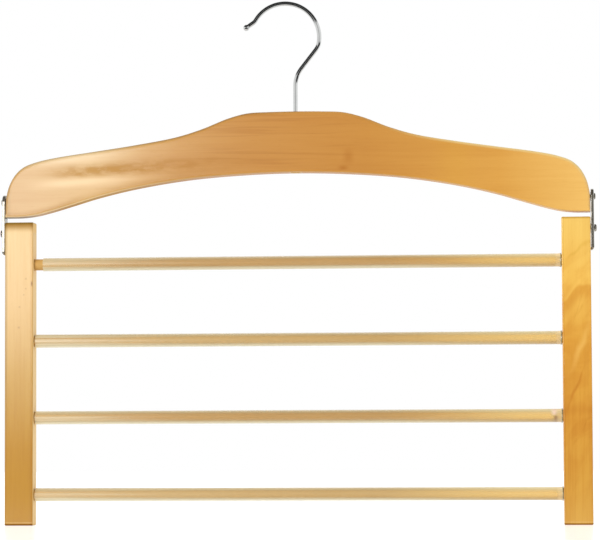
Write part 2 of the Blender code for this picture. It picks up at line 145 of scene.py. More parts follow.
# Stain of each wood along its grain: share of the way, then red, green and blue. Painted light is in the tones
# too: the arm is paler at both ends and the posts towards their tops, partly as painted sheen and light.
ARM_TONES = (
    (0.0, 210, 168, 110), (0.15, 217, 176, 114), (0.3, 204, 150, 78), (0.42, 202, 142, 64),
    (0.62, 206, 142, 56), (0.85, 228, 166, 70), (1.0, 252, 200, 106),
)
LEFT_POST_TONES = (
    (0.0, 186, 134, 24), (0.25, 190, 138, 38), (0.5, 204, 160, 78), (0.75, 224, 184, 118),
    (1.0, 230, 194, 130),
)
RIGHT_POST_TONES = (
    (0.0, 222, 168, 66), (0.35, 224, 160, 54), (0.6, 236, 174, 64), (0.8, 254, 202, 92),
    (1.0, 255, 210, 106),
)
DOWEL_TONES = (
    (0.0, 204, 160, 90), (0.3, 206, 170, 110), (0.65, 208, 170, 106), (0.92, 248, 210, 126),
    (1.0, 252, 216, 134),
)
# Specks of the left post: X, Z and radius.
SPECKS = (
    (-0.1962, -0.2052, 0.0012), (-0.1962, -0.2127, 0.001), (-0.1978, -0.2173, 0.001),
    (-0.201, -0.2265, 0.0012), (-0.2015, -0.242, 0.0014),
)


def colour(red, green, blue):
    """Turn a screen colour of 0 to 255 into the linear colour that a shader takes."""
    shares = np.array((red, green, blue)) / 255
    linear = np.where(shares <= 0.04045, shares / 12.92, ((shares + 0.055) / 1.055) ** 2.4)
    return (*linear.tolist(), 1.0)


class Value:
    """The output of one node. Sums, products and powers of values add their Math nodes."""

    def __init__(self, finish, socket):
        self.finish = finish
        self.socket = socket

    def math(self, operation, *values):
        return self.finish.node("ShaderNodeMath", {"operation": operation}, dict(enumerate(values)))

    def __add__(self, other):
        return self.math("ADD", self, other)

    def __radd__(self, other):
        return self.math("ADD", other, self)

    def __sub__(self, other):
        return self.math("SUBTRACT", self, other)

    def __rsub__(self, other):
        return self.math("SUBTRACT", other, self)

    def __mul__(self, other):
        return self.math("MULTIPLY", self, other)

    def __rmul__(self, other):
        return self.math("MULTIPLY", other, self)

    def __truediv__(self, other):
        return self.math("DIVIDE", self, other)

    def __pow__(self, other):
        return self.math("POWER", self, other)

    def hump(self, centre, width):
        """Give 1 where the value meets the centre, and fall smoothly to 0 at one width from it."""
        return self.math("ABSOLUTE", (self - centre) / width).ramp(1, 0)

    def ramp(self, low, high):
        """Go smoothly from 0 where the value is low to 1 where it is high."""
        sockets = {"Value": self, "From Min": low, "From Max": high}
        return self.finish.node("ShaderNodeMapRange", {"interpolation_type": "SMOOTHSTEP"}, sockets)


class Nodes:
    """A node tree with the coordinates that its patterns read, and the ways to add to it."""

    def __init__(self, tree, coordinates):
        self.tree = tree
        self.place = self.node("ShaderNodeTexCoord", {}, {}, coordinates)

    def feed(self, node, sockets):
        """Give sockets their values or links; an underscore in a name stands for a space."""
        for name, value in sockets.items():
            socket = node.inputs[name.replace("_", " ") if isinstance(name, str) else name]
            if isinstance(value, Value):
                self.tree.links.new(value.socket, socket)
            else:
                socket.default_value = value

    def node(self, kind, settings, sockets, output=0):
        """Add a node: settings first, then its sockets. Colour stops go to the node's ramp."""
        node = self.tree.nodes.new(kind)
        for name, setting in settings.items():
            if name == "stops":
                for place, tone in setting[2:]:
                    node.color_ramp.elements.new(place)
                for stop, (place, tone) in zip(node.color_ramp.elements, setting):
                    stop.position = place
                    stop.color = tone
            else:
                setattr(node, name, setting)
        self.feed(node, sockets)
        return Value(self, node.outputs[output])

    def axes(self):
        """Give the X, Y and Z of the point on the piece as three values."""
        split = self.node("ShaderNodeSeparateXYZ", {}, {"Vector": self.place})
        return [Value(self, output) for output in split.socket.node.outputs]

    def attribute(self, name):
        """Read a number that the piece's mesh carries."""
        return self.node("ShaderNodeAttribute", {"attribute_name": name}, {}, "Fac")

    def noise(self, cell, detail, roughness, shift=(0, 0, 0), lean=0, distortion=0):
        """Noise in cells of the given size along X, Y and Z in metres; lean turns the cells about Y."""
        sockets = {"Vector": self.place, "Scale": cell, "Location": shift}
        sockets["Rotation"] = (0, math.radians(lean), 0)
        place = self.node("ShaderNodeMapping", {"vector_type": "TEXTURE"}, sockets)
        sockets = {"Vector": place, "Scale": 1.0, "Detail": detail, "Roughness": roughness}
        sockets["Distortion"] = distortion
        return self.node("ShaderNodeTexNoise", {}, sockets)

    def mix(self, share, first, second, blend="MIX"):
        """Blend two colours by a share of the second."""
        settings = {"data_type": "RGBA", "blend_type": blend}
        return self.node("ShaderNodeMix", settings, {0: share, 6: first, 7: second}, 2)

    def layers(self, base, *layers):
        """Lay tones over a colour in turn, each by its share.

        A tone from colour() covers the base, and one of three numbers multiplies its red, green and blue.
        """
        for share, tone in layers:
            if isinstance(tone, tuple) and len(tone) == 3:
                base = self.mix(share, base, (*tone, 1), "MULTIPLY")
            else:
                base = self.mix(share, base, tone)
        return base

    def tones(self, value, stops):
        """Turn a value from 0 to 1 into a colour by smooth stops."""
        return self.node("ShaderNodeValToRGB", {"stops": stops}, {"Fac": value})

    def bump(self, height, strength, distance):
        """Raise the surface by a height of 0 to 1 times the distance."""
        sockets = {"Strength": strength, "Distance": distance, "Height": height}
        return self.node("ShaderNodeBump", {}, sockets)


class Finish(Nodes):
    """A material with one Principled shader."""

    def __init__(self, name, **sockets):
        self.material = bpy.data.materials.new(name)
        self.material.use_nodes = True
        super().__init__(self.material.node_tree, "Object")
        self.finished(**sockets)

    def finished(self, **sockets):
        """Feed the shader and give the material."""
        self.feed(self.tree.nodes["Principled BSDF"], sockets)
        return self.material


def cell_along(axis, length, width):
    """Give the size of a noise cell that is long along one axis and narrow across it."""
    cell = [width, width, width]
    cell[axis] = length
    return tuple(cell)


def wood(name, axis, tones, ends, coat, roughness, marks, grain=1.0):
    """Wood with soft bands, fibre and flecks along its grain, lacquered or bare.

    The tones run along the grain's axis between two ends, and grain is how much its lines show. Marks adds
    what one piece alone shows, and says how dull its coat is there.
    """
    finish = Finish(name, Coat_Roughness=0.2, Specular_IOR_Level=0.22)
    share = (finish.axes()[axis] - ends[0]) / (ends[1] - ends[0])
    bands = finish.noise(cell_along(axis, 0.16, 0.011), 3.0, 0.5, (0.31, 0.17, 0.82), 0, 0.4)
    fibre = finish.noise(cell_along(axis, 0.045, 0.0018), 4.0, 0.6)
    flecks = finish.noise(cell_along(axis, 0.007, 0.0007), 2.0, 0.5, (0.94, 0.22, 0.55))
    base = finish.layers(
        finish.tones(share, [(place, colour(*tone)) for place, *tone in tones]),
        (bands.ramp(0.35, 0.7) * 0.55, (0.93, 0.87, 0.74)),
        (fibre.ramp(0.4, 0.7) * (0.6 * grain), (0.96, 0.92, 0.84)),
        (flecks.ramp(0.58, 0.72) * (0.35 * grain), (0.9, 0.82, 0.7)),
    )
    base, dull = marks(finish, base)
    return finish.finished(
        Base_Color=base,
        Roughness=roughness + fibre * 0.12 - flecks.ramp(0.5, 0.8) * 0.05 + dull * 0.3,
        Coat_Weight=coat * (1 - dull),
        Normal=finish.bump(fibre * 0.6 + flecks * 0.4, 0.2 * grain, 0.00015),
    )


# The marks below are placed in metres in the hanger's frame.


def arm_marks(finish, base):
    """On the arm: a wavering, mottled heartwood streak along the left half, between two bands of painted sheen.

    Further on come dark lines, two knots and a sapwood band. The left tip is darker, and painted shade darkens
    the lower edge on the left. Painted shade outlines the upper rims on the left and a painted highlight
    lightens them on the right; painted light from below lightens the lower rims. The counterbore is paler, as
    bare wood and as painted light that lifts the shade in it.
    """
    along, deep, up = finish.axes()
    rim = finish.attribute("rim")
    rise = finish.attribute("rise")
    left = along.ramp(-0.02, -0.17)
    mottle = finish.noise((0.012, 0.01, 0.004), 4.0, 0.65, (0.2, 0.5, 0.1))
    wander = finish.noise((0.05, 0.02, 0.02), 2.0, 0.5, (0.7, 0.1, 0.4))
    over = up - (-0.1248 + (along + 0.165) * 0.05 + (wander - 0.5) * 0.003)
    streak = over.hump(0, 0.009) * along.ramp(-0.192, -0.148) * along.ramp(0.01, -0.14)
    streak *= 0.5 + mottle.ramp(0.35, 0.6) * 0.7
    # Painted sheen: the pale bands above and under the streak stand in for the lacquer's reflection.
    painted_sheen_above = over.hump(0.013, 0.012) * along.ramp(-0.1, -0.165)
    painted_sheen_under = over.hump(-0.0082, 0.006) * along.ramp(-0.205, -0.165) * along.ramp(-0.1, -0.15)
    # Painted shade: a wide band along the lower edge on the left is darkened.
    run = along + 0.131
    hem = up + 0.1433 - run * 0.25 + run * run * 0.8
    low_side_shade = hem.ramp(0.01, 0.001) * along.ramp(-0.2, -0.15) * along.ramp(-0.02, -0.1)
    lines = finish.noise((0.09, 0.004, 0.0026), 2.0, 0.5, (0.2, 0.6, 0.45), 0, 0.2)
    middle = along.ramp(-0.1, -0.03) * along.ramp(0.07, 0.03)
    knot = along.hump(0.048, 0.006) * up.hump(-0.1155, 0.009) * 0.65
    pin_knot = along.hump(0.044, 0.0055) * up.hump(-0.124, 0.0028)
    bend = along.math("MAXIMUM", along + 0.2, 0.0)
    # Painted shade: a thin dark line right along the lower edge at the left tip.
    brim_shade = (up - ARM_LOW.z - bend * 0.093 - bend * bend * 3.6).ramp(0.0056, 0.002) * along.ramp(-0.15, -0.17)
    # Painted highlight: the upper rims are lightened, most on the right half.
    pale = rim * rise.ramp(0.1, 0.7) * (0.15 + along.ramp(0.06, 0.14) * 0.7)
    underside = rise.ramp(-0.1, -0.7)
    # Painted light: the lower rims are lightened as if lit from the table below, most on the left.
    low_rim_light = rim * underside * (0.5 + left * 0.4)
    # Painted shade: a dark outline along the upper rims on the left half.
    contour_shade = rim.ramp(0.1, 1.0) * rise.ramp(-0.2, 0.4) * along.ramp(0.04, -0.04)
    # Bare wood and painted light: the counterbore is made paler, which also lifts the shade inside it.
    reach = ((along - ARM_X) ** 2 + deep ** 2) ** 0.5
    bare = reach.ramp(COUNTERBORE_RADIUS + 0.0003, COUNTERBORE_RADIUS + 0.0001)
    bare *= up.ramp(ARM_ARCH_Z + 0.012, ARM_ARCH_Z + 0.01)
    base = finish.layers(
        base,
        (streak, (0.78, 0.68, 0.46)),
        (painted_sheen_above * 0.5, colour(255, 234, 194)),
        (painted_sheen_under * 0.45, colour(255, 226, 176)),
        (low_side_shade, (0.88, 0.83, 0.66)),
        (lines.ramp(0.52, 0.66) * middle * 0.5, (0.84, 0.74, 0.58)),
        (along.hump(0.128, 0.022) * 0.7, (1.03, 1.07, 0.96)),
        (knot + pin_knot, (0.84, 0.7, 0.36)),
        (along.ramp(ARM_LOW.x + 0.006, ARM_LOW.x + 0.001) * 0.8, (0.78, 0.76, 0.6)),
        (brim_shade, (0.86, 0.77, 0.56)),
        (pale, colour(255, 234, 168)),
        (low_rim_light, finish.mix(left, colour(220, 182, 116), colour(255, 228, 180))),
        (contour_shade * 0.9, (0.56, 0.52, 0.42)),
        (bare, colour(252, 218, 146)),
    )
    return base, streak * 0.7 + low_side_shade * left * 0.4 + underside * 0.65 + pale * along.ramp(0, 0.1)


def post_ends(finish, base):
    """The ends of a post: painted shade on the foot with a painted highlight line above it, and the masks
    of head and foot, returned so that the callers darken the head and dull both.
    """
    up = finish.axes()[2]
    head = up.ramp(POST_TOP_Z - 0.008, POST_TOP_Z - 0.0005)
    # Painted shade on the foot's rounded underside, and above it a painted highlight line where it catches
    # light.
    foot = up.ramp(FLOOR_Z + 0.0016, FLOOR_Z + 0.001)
    line = up.hump(FLOOR_Z + 0.0021, 0.0008)
    base = finish.layers(base, (line * 0.25, colour(250, 216, 150)), (foot, (0.5, 0.4, 0.24)))
    return base, head, foot


def left_post_marks(finish, base):
    """On the left post: dark ends, painted shade on its edges, stains, a pale inner face, a few specks and a
    nick.
    """
    base, head, foot = post_ends(finish, base)
    across, _, up = finish.axes()
    outer_x, inner_x = (corner.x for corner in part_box("left_post"))
    inner = across.ramp(inner_x - 0.0003, inner_x - 0.00005)
    # Painted shade: dark lines along the inner and outer edges, the outer one fading towards the bottom.
    inner_edge_shade = across.hump(inner_x - 0.0014, 0.0014)
    outer_edge_shade = across.hump(outer_x + 0.0008, 0.0018) * (0.4 + up.ramp(-0.36, -0.26) * 0.5)
    stains = finish.noise((0.0016, 0.0016, 0.045), 3.0, 0.6, (0.5, 0.9, 0.3))
    specks = [across.hump(x, size) * up.hump(z, size) * 0.6 for x, z, size in SPECKS]
    nick = across.hump(inner_x - 0.0011, 0.0009) * up.hump(-0.209, 0.003)
    base = finish.layers(
        base,
        (stains.ramp(0.5, 0.7) * 0.5, (0.95, 0.9, 0.8)),
        (head, (0.44, 0.32, 0.09)),
        (head.ramp(0.93, 0.99) * 0.8, (0.64, 0.76, 0.9)),
        (inner_edge_shade * 0.65, (0.84, 0.72, 0.46)),
        (outer_edge_shade, (0.66, 0.62, 0.44)),
        (inner, colour(254, 216, 148)),
        (inner * up.ramp(-0.34, -0.39) * 0.7, (0.86, 0.8, 0.64)),
        *[(speck, (0.62, 0.5, 0.36)) for speck in specks],
        (nick, (0.4, 0.28, 0.14)),
    )
    return base, head ** 0.5 + foot * 0.9 + inner * 0.8


def right_post_marks(finish, base):
    """On the right post: dark ends, painted shade along the inner edge, and a leaning flame figure with a vein,
    arch, pale curl and seam.
    """
    base, head, foot = post_ends(finish, base)
    across, _, up = finish.axes()
    inner_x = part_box("right_post")[0].x
    inward = across - inner_x
    middle = up.ramp(-0.39, -0.32) * up.ramp(-0.175, -0.21)
    flame = finish.noise((0.016, 0.03, 0.036), 2.0, 0.45, (0.13, 0.4, 0.27), 40.0, 1.3)
    lines = finish.noise((0.0032, 0.02, 0.05), 2.0, 0.5, (0.6, 0.1, 0.2), 22.0, 0.9)
    grain = finish.noise((0.0021, 0.003, 0.09), 3.0, 0.6, (0.3, 0.6, 0.9), 1.5, 0.3)
    bend = finish.noise((0.012, 0.02, 0.022), 2.0, 0.5, (0.8, 0.2, 0.6)) - 0.5
    vein = (up + 0.1881 + bend * 0.012 - (inward - 0.011) * 0.75).hump(0, 0.0026)
    vein *= across.ramp(inner_x, inner_x + 0.008)
    curl = (inward - 0.014 + bend * 0.01 - (up + 0.256) * 0.42).hump(0, 0.0034)
    curl *= up.hump(-0.259, 0.025)
    below = up + 0.2124 + across.ramp(inner_x + 0.014, inner_x) * 0.0131 + bend * 0.004
    arch = below.ramp(0.001, -0.002) * below.ramp(-0.016, -0.004)
    seam = (inward - 0.0041 + bend * 0.006 - (up + 0.3048) * 0.366).hump(0, 0.0018)
    seam = seam * up.hump(-0.29, 0.022) + (up + bend * 0.01).hump(-0.3045, 0.006) * 0.6
    top = head.ramp(0.93, 0.99)
    base = finish.layers(
        base,
        (flame.ramp(0.38, 0.62) * middle * 0.6, (0.88, 0.74, 0.5)),
        (arch * 0.9 + seam * 0.8, (0.86, 0.72, 0.48)),
        (lines.ramp(0.62, 0.76) * middle * 0.4, (0.86, 0.76, 0.54)),
        (vein * 0.5, (0.86, 0.8, 0.5)),
        (curl * 0.45, colour(255, 204, 104)),
        (grain.ramp(0.45, 0.65) * up.ramp(-0.26, -0.33) * 0.6, (0.92, 0.82, 0.62)),
        # Painted shade: a dark line along the inner edge.
        (across.hump(inner_x + 0.0010, 0.0012) * 0.7, (0.82, 0.78, 0.62)),
        (top * 0.8, (0.6, 0.54, 0.38)),
    )
    return base, (top + foot) * 0.9


def dowel_marks(finish, base):
    """The first and third dowels are darker and redder along their middle."""
    along, _, up = finish.axes()
    deep = up.hump(BAR_HEIGHTS[0], 0.02) + up.hump(CREASE_Z, 0.02)
    deep = deep * along.ramp(-0.17, -0.11) * along.ramp(0.18, 0.1)
    return finish.layers(base, (deep, (0.88, 0.75, 0.58))), 0


def clear_plastic():
    """Clear ribbed plastic: it shows the wood, is streaked along it, and cloudier at its sides and mouth.
    Painted light makes it pale at its top and bottom and along its underside but for the right end, and paler
    with brighter streaks at its left end; painted shadow darkens its mouth.

    Towards the right end painted light makes it paler above and painted shade darker below, and it gathers in a
    collar; bar 3 has a crease, painted as a highlight over painted shade.
    """
    finish = Finish("clear ribbed plastic", Coat_Weight=1.0, Coat_Roughness=0.2)
    wall = finish.attribute("wall")
    mouth = finish.attribute("mouth")
    lift = finish.attribute("lift")
    edge = finish.node("ShaderNodeLayerWeight", {}, {"Blend": 0.5}, "Facing")
    along, _, up = finish.axes()
    left = along.ramp(-0.06, -0.19)
    right = along.ramp(0.06, 0.2)
    streaks = finish.noise((0.25, 0.002, 0.002), 2.0, 0.5)
    clouds = finish.noise((0.03, 0.006, 0.006), 3.0, 0.5, (0.4, 0.1, 0.2))
    # Painted light: the top and bottom of the tube turn pale and cloudy, standing in for light the clear wall
    # bends.
    side = lift.math("ABSOLUTE", lift).ramp(0.3, 0.9)
    # Painted light and shade: towards the right end the top is paler and the bottom darker.
    upper = right * lift.ramp(0, 0.8)
    lower = right * lift.ramp(0.1, -0.8)
    # Painted light: a pale band along the underside, but for the right end.
    below = (1 - right) * lift.ramp(-0.3, -0.85)
    collar = along.ramp(0.2005, 0.203)
    third = up.hump(CREASE_Z, 0.012)
    # A crease on bar 3, painted as a highlight above and painted shade in its fold.
    crease = along.hump(0.1997, 0.0035) * lift.ramp(-0.2, 0.3) * third
    fold_shade = along.hump(0.2008, 0.003) * lift.ramp(0.1, -0.2) * third
    base = finish.layers(
        colour(226, 202, 146),
        # Partly painted sheen: the left end is paler and its streaks brighter.
        (left, colour(248, 228, 180)),
        (right, colour(252, 224, 146)),
        (streaks.ramp(0.4, 0.65) * (0.25 + left * 0.6), colour(255, 240, 200)),
        (side * 0.7, finish.mix(left, colour(242, 226, 182), colour(222, 204, 158))),
        (below * 0.5, colour(255, 248, 214)),
        (upper * 0.7, colour(255, 240, 186)),
        (lower * 0.7, colour(212, 184, 130)),
        (collar * 0.5, colour(255, 232, 180)),
        (crease, colour(255, 226, 200)),
        (fold_shade, colour(150, 108, 70)),
        # Painted shadow: the sleeve's mouth darkens where it meets the post.
        (mouth, colour(112, 104, 76)),
    )
    thick = 0.12 + streaks.ramp(0.4, 0.7) * (0.05 + left * 0.2) + clouds * 0.04
    thick = thick + side * 0.38 + edge ** 3 * 0.4
    thick = thick + left * 0.1 + right * 0.06 + upper * 0.2 + below * 0.2 + collar * 0.2
    thick += (crease + fold_shade) * 0.5
    return finish.finished(
        Base_Color=base,
        Roughness=0.22 + clouds * 0.15,
        Alpha=wall * thick + 0.04 + mouth * 0.45,
        Normal=finish.bump(streaks, 0.2, 0.0001),
    )


def chrome_plate():
    """Bright chrome with faint drawn marks and a little haze."""
    finish = Finish("chrome plate", Metallic=1.0)
    haze = finish.noise((0.006, 0.006, 0.006), 3.0, 0.6)
    marks = finish.noise((0.0014, 0.0014, 0.0014), 2.0, 0.6, (0.1, 0.2, 0.3))
    return finish.finished(
        Base_Color=finish.mix(haze, colour(225, 226, 225), colour(207, 209, 208)),
        Roughness=0.08 + haze.ramp(0.4, 0.8) * 0.05,
        Normal=finish.bump(marks, 0.04, 0.00001),
    )


def nickel_plate():
    """Nickel on stamped steel: brushed, a little stained, brighter where its edges rub."""
    finish = Finish("nickel plate", Metallic=0.8)
    brushed = finish.noise((0.0007, 0.0007, 0.008), 3.0, 0.6)
    stains = finish.noise((0.0045, 0.0045, 0.0045), 4.0, 0.6, (0.6, 0.3, 0.1))
    return finish.finished(
        Base_Color=finish.layers(
            colour(173, 168, 157),
            (stains.ramp(0.35, 0.8), colour(134, 128, 112)),
            (finish.attribute("rim") * 0.4, colour(204, 200, 190)),
        ),
        Roughness=0.13 + brushed * 0.08 + stains.ramp(0.4, 0.8) * 0.08,
        Normal=finish.bump(brushed, 0.1, 0.00005),
    )


def table_top():
    """White table: it glows a little to the camera, keeps shadows and reflects softly."""
    return Finish(
        "white table",
        Base_Color=colour(150, 150, 150),
        Roughness=0.22,
        Specular_IOR_Level=0.4,
        Emission_Color=(1.0, 1.0, 1.0, 1.0),
        Emission_Strength=0.66,
    ).material


def grid_faces(rows, columns, close_rows=False, close_columns=False):
    """Join each point of a grid to its next neighbours along both directions."""
    low, left = np.meshgrid(
        np.arange(rows if close_rows else rows - 1),
        np.arange(columns if close_columns else columns - 1),
        indexing="ij",
    )
    high = (low + 1) % rows
    right = (left + 1) % columns
    corners = (low * columns + left, low * columns + right, high * columns + right, high * columns + left)
    return np.stack(corners, axis=-1).reshape(-1, 4)


def new_object(name, data):
    """Put a mesh, lamp or camera into the scene."""
    item = bpy.data.objects.new(name, data)
    bpy.context.scene.collection.objects.link(item)
    return item


def shade(mesh, crease):
    """Shade a mesh smooth but for edges that bend by more than the crease, in degrees."""
    mesh.shade_smooth()
    mesh.set_sharp_from_angle(angle=math.radians(crease))
    return mesh


def make_mesh(parts, marks=None, crease=TURNED_CREASE):
    """Put point arrays and their faces into one closed mesh, joined where they meet, facing outwards.

    Each part is (points, faces); marks names a number per point, given part by part.
    """
    mesh = bpy.data.meshes.new("surface")
    starts = np.cumsum([0] + [len(points) for points, faces in parts])
    points = np.concatenate([points for points, faces in parts])
    faces = [face for (_, part), start in zip(parts, starts) for face in (part + start).tolist()]
    mesh.from_pydata(points.tolist(), [], faces)
    for label, numbers in (marks or {}).items():
        layer = mesh.attributes.new(label, "FLOAT", "POINT")
        layer.data.foreach_set("value", np.concatenate(numbers).astype(np.float32))
    bm = bmesh.new()
    bm.from_mesh(mesh)
    bmesh.ops.remove_doubles(bm, verts=bm.verts, dist=1e-6)
    bmesh.ops.dissolve_degenerate(bm, dist=1e-7, edges=bm.edges)
    bmesh.ops.recalc_face_normals(bm, faces=bm.faces)
    bm.to_mesh(mesh)
    bm.free()
    return shade(mesh, crease)


def carve(mesh, tools, crease=TURNED_CREASE, operation="DIFFERENCE"):
    """Cut tool meshes out of a mesh, or join them to it, and keep its shading crisp at the new edges."""
    work, *helpers = [new_object("work", item) for item in (mesh, *tools)]
    for helper in helpers:
        modifier = work.modifiers.new("cut", "BOOLEAN")
        modifier.operation = operation
        modifier.object = helper
        modifier.solver = "EXACT"
    bpy.context.view_layer.update()
    graph = bpy.context.evaluated_depsgraph_get()
    result = bpy.data.meshes.new_from_object(work.evaluated_get(graph))
    for item in (work, *helpers):
        bpy.data.objects.remove(item, do_unlink=True)
    return shade(result, crease)


def add_piece(name, mesh, material, body, slot, *nodes):
    """Show a mesh as one piece that rides on a body, stands for CAD nodes and takes a material; its slot is not
    used.
    """
    mesh.name = name
    mesh.materials.clear()
    mesh.materials.append(material)
    piece = new_object(name, mesh)
    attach(piece, body)
    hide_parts(*nodes)


def smooth_line(points, steps):
    """Centripetal Catmull-Rom through the points: blends of blends over the square roots of the chords."""
    points = np.asarray(points, float)
    chain = np.concatenate([[2 * points[0] - points[1]], points, [2 * points[-1] - points[-2]]])
    p0, p1, p2, p3 = (chain[start:start + len(points) - 1, None] for start in range(4))
    t1 = np.linalg.norm(p1 - p0, axis=-1, keepdims=True) ** 0.5
    t2 = t1 + np.linalg.norm(p2 - p1, axis=-1, keepdims=True) ** 0.5
    t3 = t2 + np.linalg.norm(p3 - p2, axis=-1, keepdims=True) ** 0.5
    t = t1 + (t2 - t1) * (np.arange(steps) / steps)[None, :, None]
    a1 = p0 + (p1 - p0) * t / t1
    a2 = p1 + (p2 - p1) * (t - t1) / (t2 - t1)
    a3 = p2 + (p3 - p2) * (t - t2) / (t3 - t2)
    b1 = a1 + (a2 - a1) * t / t2
    b2 = a2 + (a3 - a2) * (t - t1) / (t3 - t1)
    line = b1 + (b2 - b1) * (t - t1) / (t2 - t1)
    return np.concatenate([line.reshape(-1, 2), points[-1:]])


def even_line(line, count, lead=0):
    """Lay count points along a line, evenly but for a bare lead next to both ends."""
    run = np.concatenate([[0], np.cumsum(np.linalg.norm(np.diff(line, axis=0), axis=1))])
    even = np.linspace(0, run[-1], count)
    if lead:
        even[1:-1] = np.linspace(lead, run[-1] - lead, count - 2)
    return np.stack([np.interp(even, run, line[:, axis]) for axis in range(2)], axis=1)


def slab_parts(left, right, shares, thickness, ease, ease_steps, low_share=1.0, pointed=False):
    """Fill the outline between two lines with rows, and round its rim over from front to back.

    Left and right are (u, v) lines of equal count, round which the outline runs clockwise, and shares places
    the points of a row between them. The rim steps in by ease * (1 - sin a) while it rises by
    ease * (1 - cos a) towards each face, parallel to the outline. Where it looks towards -v, the ease
    shrinks to its low share. With pointed, the first row is one point. Returns (u, v, w) parts and their
    marks: rim is 1 where the ease meets the flat of the rim, and rise is how far it looks towards +v.
    """
    rows, columns = len(left), len(shares)
    across = np.asarray(shares, float)[None, :, None]
    index = np.arange(rows * columns).reshape(rows, columns)
    first = index[0, :1] if pointed else index[0]
    loop = np.concatenate([first, index[1:, -1], index[-1, -2::-1], index[-2:0:-1, 0]])
    outline = (left[:, None] * (1 - across) + right[:, None] * across).reshape(-1, 2)[loop]
    ahead = np.roll(outline, -1, axis=0) - outline
    ahead /= np.linalg.norm(ahead, axis=1, keepdims=True)
    normal = np.stack([ahead[:, 1], -ahead[:, 0]], axis=1)
    before = np.roll(normal, 1, axis=0)
    mitre = (normal + before) / (1 + (normal * before).sum(axis=1, keepdims=True))

    share = np.interp(-mitre[:, 1], (-0.5, 0.2), (low_share, 1))
    angles = np.linspace(0, math.pi / 2, ease_steps + 1)
    inset = np.concatenate([[ease * 1.25], ease * (1 - np.sin(angles)), [0]])
    sink = np.concatenate([[0], ease * (1 - np.cos(angles)), [ease * 1.6]])
    insets = np.concatenate([inset, inset[::-1]])
    sides = np.repeat((-1, 1), len(inset))[:, None]
    depths = sides * (thickness / 2 - np.concatenate([sink, sink[::-1]])[:, None] * share)
    rings = outline[None] + mitre[None] * insets[:, None, None] * share[None, :, None]
    band = np.concatenate([rings, depths[..., None]], axis=2)
    parts = [(band.reshape(-1, 3), grid_faces(len(insets), len(loop), close_columns=True))]
    rim = np.clip(1 - inset / ease, 0, 1)
    rim[-1] = 0
    rim = np.repeat(np.concatenate([rim, rim[::-1]]), len(loop))
    marks = {"rim": [rim], "rise": [np.outer(insets < ease * 1.2, -mitre[:, 1]).ravel()]}

    sheet = np.zeros((rows * columns, 2))
    sheet[loop] = outline + mitre * inset[0] * share[:, None]
    if pointed:
        sheet[index[0]] = sheet[index[0, 0]]
    sheet = sheet.reshape(rows, columns, 2)
    sheet[1:-1] = sheet[1:-1, :1] * (1 - across) + sheet[1:-1, -1:] * across
    for side in (-1, 1):
        face = np.concatenate([sheet, np.full((rows, columns, 1), side * thickness / 2)], axis=2)
        parts.append((face.reshape(-1, 3), grid_faces(rows, columns)))
        for numbers in marks.values():
            numbers.append(np.zeros(rows * columns))
    return parts, marks


def turned_points(profile, sides, wave=None):
    """Turn (radius, height) points about Z; wave adds to the radius as a function of angle and point."""
    profile = np.asarray(profile, float)
    angle = np.arange(sides) * 2 * math.pi / sides
    radius = np.repeat(profile[:, :1], sides, axis=1)
    height = np.repeat(profile[:, 1:2], sides, axis=1)
    if wave:
        radius += wave(angle, profile)
    return np.stack([radius * np.cos(angle), radius * np.sin(angle), height], axis=-1).reshape(-1, 3)


def lay_along(points, axis, origin):
    """Turn points made about Z so that Z runs along the axis, and move them to the origin."""
    turn = np.array(Vector((0, 0, 1)).rotation_difference(Vector(axis)).to_matrix())
    return points @ turn.T + np.array(origin)


def turned_mesh(profile, sides, axis, origin, wave=None, ring=False):
    """Make a turned piece along an axis from its origin. A ring's profile closes on itself."""
    points = lay_along(turned_points(profile, sides, wave), axis, origin)
    return make_mesh([(points, grid_faces(len(profile), sides, ring, True))])


def rod_tool(start, end, radius):
    """A plain closed rod between two points, for cutting."""
    run = Vector(end) - Vector(start)
    profile = [(0, 0), (radius, 0), (radius, run.length), (0, run.length)]
    return turned_mesh(profile, BORE_SIDES, run.normalized(), start)


def arm_mesh():
    """Rule the arm between its arched underside and its crest line, then bore it.

    Each line is half an outline and its mirror image, made smooth and laid out evenly.
    """
    lines = []
    corner_lead = 0.0034
    edges = (ARCH_EDGE_SHARES, ARM_ARCH_HEIGHT, corner_lead), (CREST_EDGE_SHARES, ARM_CREST_HEIGHT, 0)
    for shares, height, lead in edges:
        half = np.array(shares) * (ARM_HALF, height)
        line = smooth_line(np.concatenate([half[:0:-1] * (-1, 1), half]), 12)
        lines.append(even_line(line, 300, lead) + (ARM_X, ARM_LOW.z))
    rows = (0, 0.46, 0.56, 0.66, 0.76, 0.88, 1)
    parts, marks = slab_parts(*lines, rows, ARM_THICKNESS, ARM_EASE, 7, ARM_LOW_EASE_SHARE)
    parts = [(points[:, [0, 2, 1]], faces) for points, faces in parts]
    shank_top = (ARM_X, 0, ARM_HIGH.z + OVERRUN)
    washer_seat = (ARM_X, 0, ARM_ARCH_Z + COUNTERBORE_DEPTH)
    tools = [
        rod_tool((ARM_X, 0, ARM_ARCH_Z), shank_top, WIRE_RADIUS + GAP),
        rod_tool((ARM_X, 0, ARM_ARCH_Z - OVERRUN), washer_seat, COUNTERBORE_RADIUS),
    ]
    for side in (-1, 1):
        mouth = (ARM_X + side * (ARM_HALF + OVERRUN), 0, PIVOT_Z)
        bottom = (ARM_X + side * (ARM_HALF - PIN_BITE - GAP), 0, PIVOT_Z)
        tools.append(rod_tool(bottom, mouth, PIN_RADIUS + GAP))
    return carve(make_mesh(parts, marks, EASED_CREASE), tools, EASED_CREASE)


